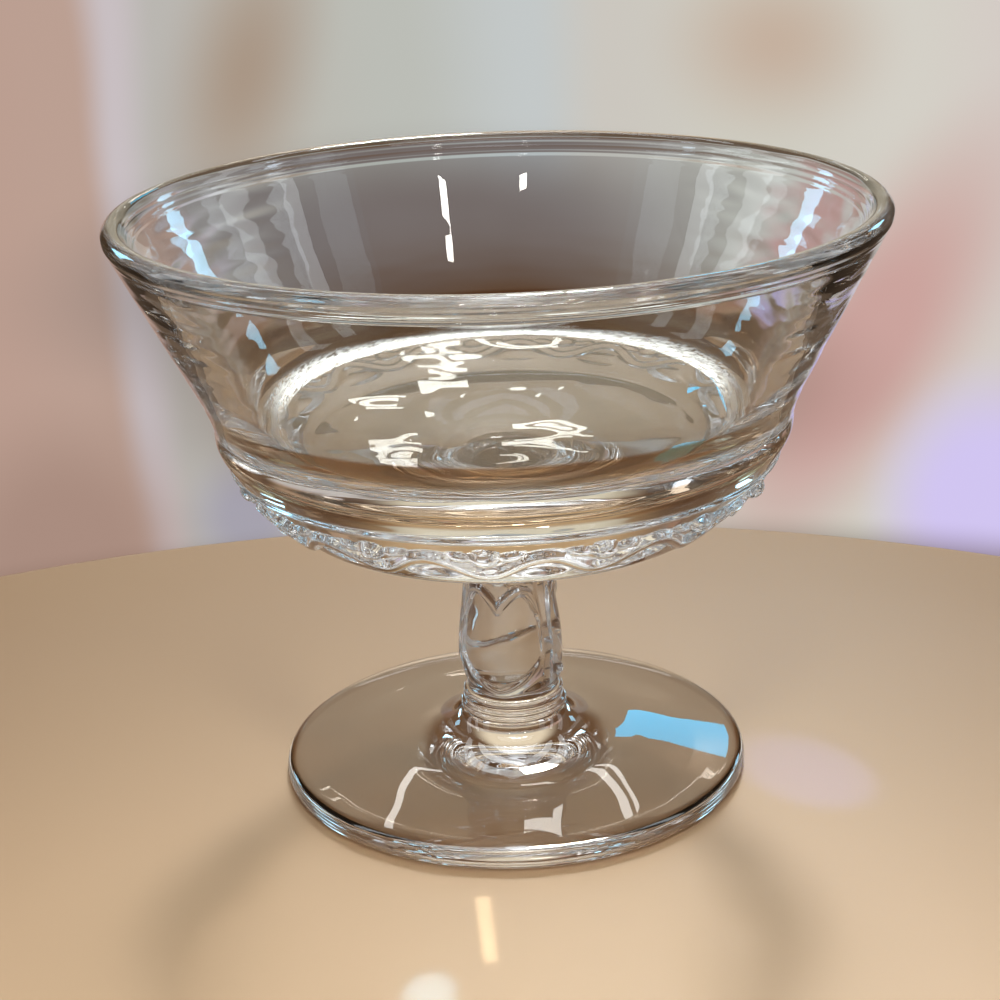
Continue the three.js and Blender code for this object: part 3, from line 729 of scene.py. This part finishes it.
# Panels overhead and on the walls: name, corners, distance and glow.
PANELS = (
    ("ceiling_1", [(-65, 46), (0, 47), (65, 46), (65, 52), (0, 53), (-65, 52)], PANE_AWAY, 4.2),
    ("ceiling_2", [(-70, 58), (0, 58), (70, 58), (70, 65), (0, 65), (-70, 65)], PANE_AWAY, 5.0),
    ("ceiling_3", [(-90, 71), (0, 71), (90, 71), (90, 80), (-90, 80)], PANE_AWAY, 4.6),
    ("ceiling_4", [(130, 57), (180, 57), (-130, 57), (-130, 68), (130, 68)], PANE_AWAY, 1.8),
    ("left_wide", [(-52, 8), (-122, 8), (-122, 50), (-52, 50)], WIDE_AWAY, 0.22),
    ("right_wide", [(52, 8), (122, 8), (122, 50), (52, 50)], WIDE_AWAY, 0.22),
    ("left_wall_1", [(-66, -6), (-76, -6), (-76, 40), (-66, 40)], PANE_AWAY, 2.2),
    ("left_wall_2", [(-88, -6), (-95, -6), (-95, 40), (-88, 40)], PANE_AWAY, 2.8),
    ("left_wall_3", [(-108, -6), (-122, -6), (-122, 36), (-108, 36)], PANE_AWAY, 1.3),
    ("right_wall_1", [(66, -6), (76, -6), (76, 40), (66, 40)], PANE_AWAY, 2.2),
    ("right_wall_2", [(90, -6), (97, -6), (97, 40), (90, 40)], PANE_AWAY, 2.8),
    ("right_wall_3", [(110, -6), (124, -6), (124, 36), (110, 36)], PANE_AWAY, 1.3),
)
# Soft lamps: name, turn, height, distance, width, tallness, glow and colour.
BACK_LAMPS = (
    ("left_window", -44, 15, 1.2, 0.17, 0.20, 7, SKY),
    ("right_window", 42, 14, 1.2, 0.17, 0.20, 7, SKY),
)
KEY_LAMP = ("key_lamp", 7, 52, 4.0, 0.50, 0.50, 147, KEY_WHITE)
KEY_PANE = [(2, 49), (12, 48), (12, 55), (2, 56)]
SIDE_AND_FRONT_LAMPS = (
    ("left_side_window", -112, 10, 1.2, 0.10, 0.36, 10, SIDE_SKY),
    ("right_side_window", 100, 10, 1.2, 0.10, 0.36, 10, SIDE_SKY),
    ("front_lamp_right", 157, 46.15, 1.4, 0.05, 0.036, 40, WHITE),
    ("front_lamp_left", -168, 47.2, 1.4, 0.05, 0.014, 40, WHITE),
)
# Spots on the table: start, goal, spread, watts and colour. One wide pool lies in front, and the
# small ones stand for the light that the glass gathers, six of them in a row as one streak.
POOL, POOL_BLEND, POOL_SIZE = ((0, -0.20, 0.30), (-0.004, -0.118), 55, 5.1, POOL_WHITE), 1.0, 0.02
GLEAM_BLEND, GLEAM_SIZE = 0.8, 0.0004
STREAK_FROM, STREAK_START, STREAK_STEP = (-0.004, -0.12, 0.10), (-0.0046, -0.0385), (0.00015, 0.0024)
STREAK = [
    (STREAK_FROM, (STREAK_START[0] + STREAK_STEP[0] * k, STREAK_START[1] - STREAK_STEP[1] * k),
     1.2, 1.15, (0.88, 0.97, 1.0))
    for k in range(6)
]
GLEAMS = [
    ((0.09, -0.10, 0.10), (0.0400, -0.0080), 8.0, 1.1, (0.10, 0.20, 1.0)),
    ((-0.02, -0.15, 0.10), (-0.0108, -0.0578), 3.2, 2.6, (0.16, 0.44, 1.0)),
]


def toward(turn, height):
    """The direction that is turn degrees right of straight behind and height degrees up."""
    a, e = math.radians(turn), math.radians(height)
    return math.sin(a) * math.cos(e), math.cos(a) * math.cos(e), math.sin(e)


def soft_lamp(name, turn, height, away, wide, tall, glow, colour):
    """A soft panel that faces the glass."""
    aim = Vector((0, 0, 0.05))
    spot = aim + away * Vector(toward(turn, height))
    data = bpy.data.lights.new(name, "AREA")
    data.shape = "RECTANGLE"
    data.size, data.size_y = wide, tall
    data.energy = glow * math.pi * wide * tall
    data.color = colour
    lamp = bpy.data.objects.new(name, data)
    face = (aim - spot).to_track_quat("-Z", "Y").to_matrix()
    lamp.matrix_world = Matrix.Translation(spot) @ face.to_4x4()
    bpy.context.collection.objects.link(lamp)
    lamp.visible_camera = False
    return lamp


def spot_lamp(name, start, goal, spread, watts, colour, blend, size):
    """A narrow lamp from start to a goal on the table, which shows on the table alone."""
    data = bpy.data.lights.new(name, "SPOT")
    data.energy, data.color = watts, colour
    data.spot_size, data.spot_blend, data.shadow_soft_size = math.radians(spread), blend, size
    lamp = bpy.data.objects.new(name, data)
    lamp.location = start
    lamp.rotation_euler = (Vector((*goal, 0)) - lamp.location).to_track_quat("-Z", "Y").to_euler()
    lamp.visible_glossy = False
    lamp.visible_transmission = False
    bpy.context.collection.objects.link(lamp)


def lit_pane(name, corners, away, glow, colour):
    """A bright pane whose corners lie in the given directions, each a turn and a height."""
    points = []
    for turn, height in corners:
        x, y, z = toward(turn, height)
        points.append((away * x, away * y, PANE_BASE_Z + away * z))
    return pane_between(name, points, glow, colour)


def pane_between(name, points, glow, colour):
    """A bright flat pane with its corners at the given points."""
    pane = new_object(name, points, [range(len(points))], smooth=False)
    finish, tree = new_glow(name)
    light = place(tree, "ShaderNodeEmission", {"Strength": glow, "Color": (*colour, 1)})
    show(tree, light.outputs["Emission"])
    pane.data.materials.append(finish)
    pane.visible_camera = False
    return pane


def room_walls():
    """A dim warm room that is brighter behind the glass."""
    world = bpy.data.worlds.new("room")
    world.use_nodes = True
    tree = world.node_tree
    way = split(tree, place(tree, "ShaderNodeTexCoord").outputs["Generated"])
    turn = reckon(tree, "ABSOLUTE", reckon(tree, "ARCTAN2", way["X"], way["Y"]))
    behind = share_of(tree, turn, [math.radians(edge) for edge in BRIGHT_TURN])
    level = product(tree, share_of(tree, way["Z"], BRIGHT_FOOT), share_of(tree, way["Z"], BRIGHT_TOP))
    tone = lay_over(tree, product(tree, behind, level), DIM_ROOM, BRIGHT_ROOM)
    tree.links.new(tone, tree.nodes["Background"].inputs["Color"])
    bpy.context.scene.world = world


def windows():
    """Bright panes that show as reflections in the glass."""
    strip = lit_pane("back_window", STRIP, PANE_AWAY, STRIP_GLOW, STRIP_BLUE)
    strip.visible_transmission = False
    for k, (left, right, foot, top) in enumerate(FAR_PANES):
        bar, shift = BAR_SHARE * (top - foot), BAR_SHIFT * (right - left)
        bars = ((left - shift, right - shift, foot), (left, right, top - bar))
        for part, (a, b, z) in enumerate(bars):
            corners = [(a, z), (b, z), (b, z + bar), (a, z + bar)]
            lit_pane("far_pane_%d_%d" % (k + 1, part + 1), corners, PANE_AWAY, PANE_GLOW, PANE_WHITE)
    for k, corners in enumerate(FOOT_PANES):
        points = [(x, FOOT_PANE_Y, z) for x, z in corners]
        pane = pane_between("foot_pane_%d" % (k + 1), points, PANE_GLOW, FOOT_WHITE)
        pane.visible_transmission = False
    for name, corners, away, glow in PANELS:
        lit_pane(name, corners, away, glow, PANEL_WHITE).visible_diffuse = False


def lamps():
    for lamp in BACK_LAMPS:
        soft_lamp(*lamp)
    soft_lamp(*KEY_LAMP).visible_transmission = False
    glow = lit_pane("key_glow", KEY_PANE, KEY_PANE_AWAY, KEY_PANE_GLOW, WHITE)
    glow.visible_diffuse = False
    glow.visible_glossy = False
    spot_lamp("front_pool", *POOL, POOL_BLEND, POOL_SIZE)
    for k, gleam in enumerate(STREAK + GLEAMS):
        spot_lamp("gathered_light_%d" % (k + 1), *gleam, GLEAM_BLEND, GLEAM_SIZE)
    for lamp in SIDE_AND_FRONT_LAMPS:
        soft_lamp(*lamp)


CAMERA_PLACE, CAMERA_LENS = (0, -0.2533738, 0.1321143), 72.28
CAMERA_YAW, CAMERA_PITCH, CAMERA_ROLL = -0.0036, -0.3543, -0.0366


def photo_camera():
    yaw, pitch, roll = CAMERA_YAW, CAMERA_PITCH, CAMERA_ROLL
    ahead = Vector((math.sin(yaw) * math.cos(pitch), math.cos(yaw) * math.cos(pitch), math.sin(pitch)))
    right = Vector((math.cos(yaw), -math.sin(yaw), 0))
    up = right.cross(ahead)
    cos, sin = math.cos(roll), math.sin(roll)
    right, up = cos * right + sin * up, cos * up - sin * right
    data = bpy.data.cameras.new("photo_camera")
    data.lens, data.sensor_width, data.sensor_fit = CAMERA_LENS, 36.0, "HORIZONTAL"
    data.clip_start, data.clip_end = 0.01, 20
    view = bpy.data.objects.new("photo_camera", data)
    turn = Matrix((right, up, -ahead)).transposed().to_4x4()
    view.matrix_world = Matrix.Translation(CAMERA_PLACE) @ turn
    bpy.context.collection.objects.link(view)
    bpy.context.scene.camera = view


table = table_top()
backdrop = curtain()
room_walls()
windows()
lamps()
photo_camera()
scene = bpy.context.scene
scene.view_settings.view_transform = "Standard"
scene.cycles.max_bounces = 28
scene.cycles.transmission_bounces = 28
scene.cycles.glossy_bounces = 12
scene.cycles.diffuse_bounces = 4
scene.cycles.transparent_max_bounces = 24
scene.cycles.sample_clamp_indirect = 0.0
